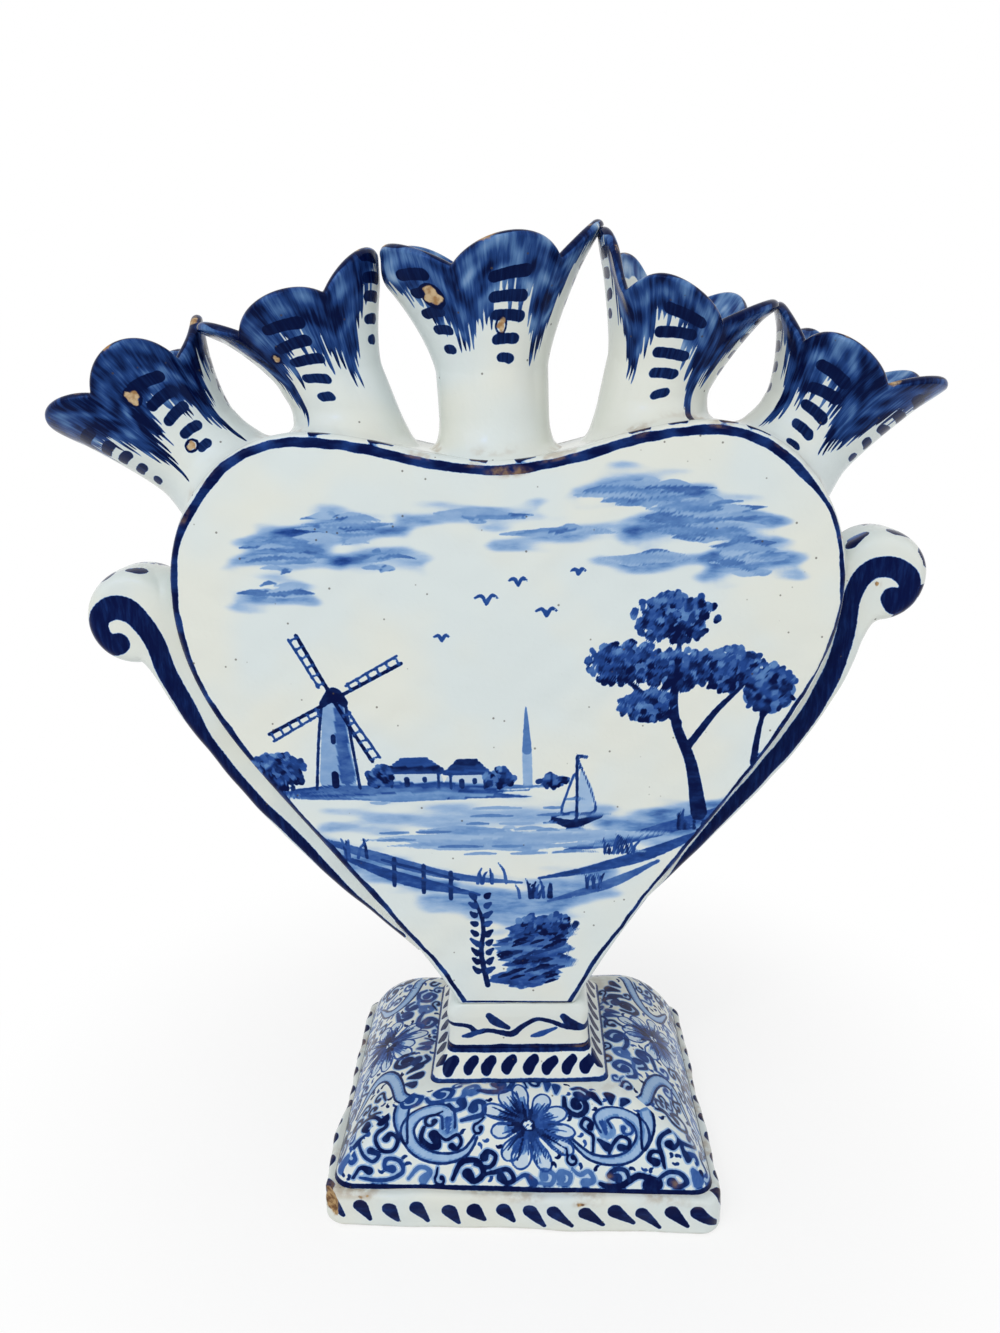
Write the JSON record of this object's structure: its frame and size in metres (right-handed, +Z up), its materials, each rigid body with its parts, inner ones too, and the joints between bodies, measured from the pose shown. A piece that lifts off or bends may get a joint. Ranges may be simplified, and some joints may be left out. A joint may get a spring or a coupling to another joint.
{
  "type": "tulipiere",
  "caption": "Heart-shaped tin-glazed flower vase on a hollow domed foot, with flared lobed spouts along its top and a scrolled strap handle on each flank.",
  "frame": {"origin": "middle of the foot's underside, on the surface that the vase stands on", "axes": "+Z up, +X to the right of the painted face, +Y from the painted face towards the back"},
  "size_m": [0.1945, 0.079, 0.2248],
  "materials": {
    "white_glaze": "glossy grey-white tin glaze",
    "painted_glaze": "glossy grey-white tin glaze with blue painting under it",
    "blue_glaze": "glossy grey-white tin glaze washed with dark blue towards the mouths"
  },
  "bodies": {
    "root": {"foot_band": "painted_glaze", "base_dome": "painted_glaze", "collar": "painted_glaze", "neck": "painted_glaze", "body_floor": "white_glaze", "front_wall": "painted_glaze", "back_wall": "painted_glaze", "left_side_wall": "white_glaze", "right_side_wall": "white_glaze", "top_wall": "white_glaze", "left_handle": "white_glaze", "right_handle": "white_glaze", "outer_left_spout": "blue_glaze", "inner_left_spout": "blue_glaze", "centre_spout": "blue_glaze", "inner_right_spout": "blue_glaze", "outer_right_spout": "blue_glaze"}
  },
  "joints": []
}
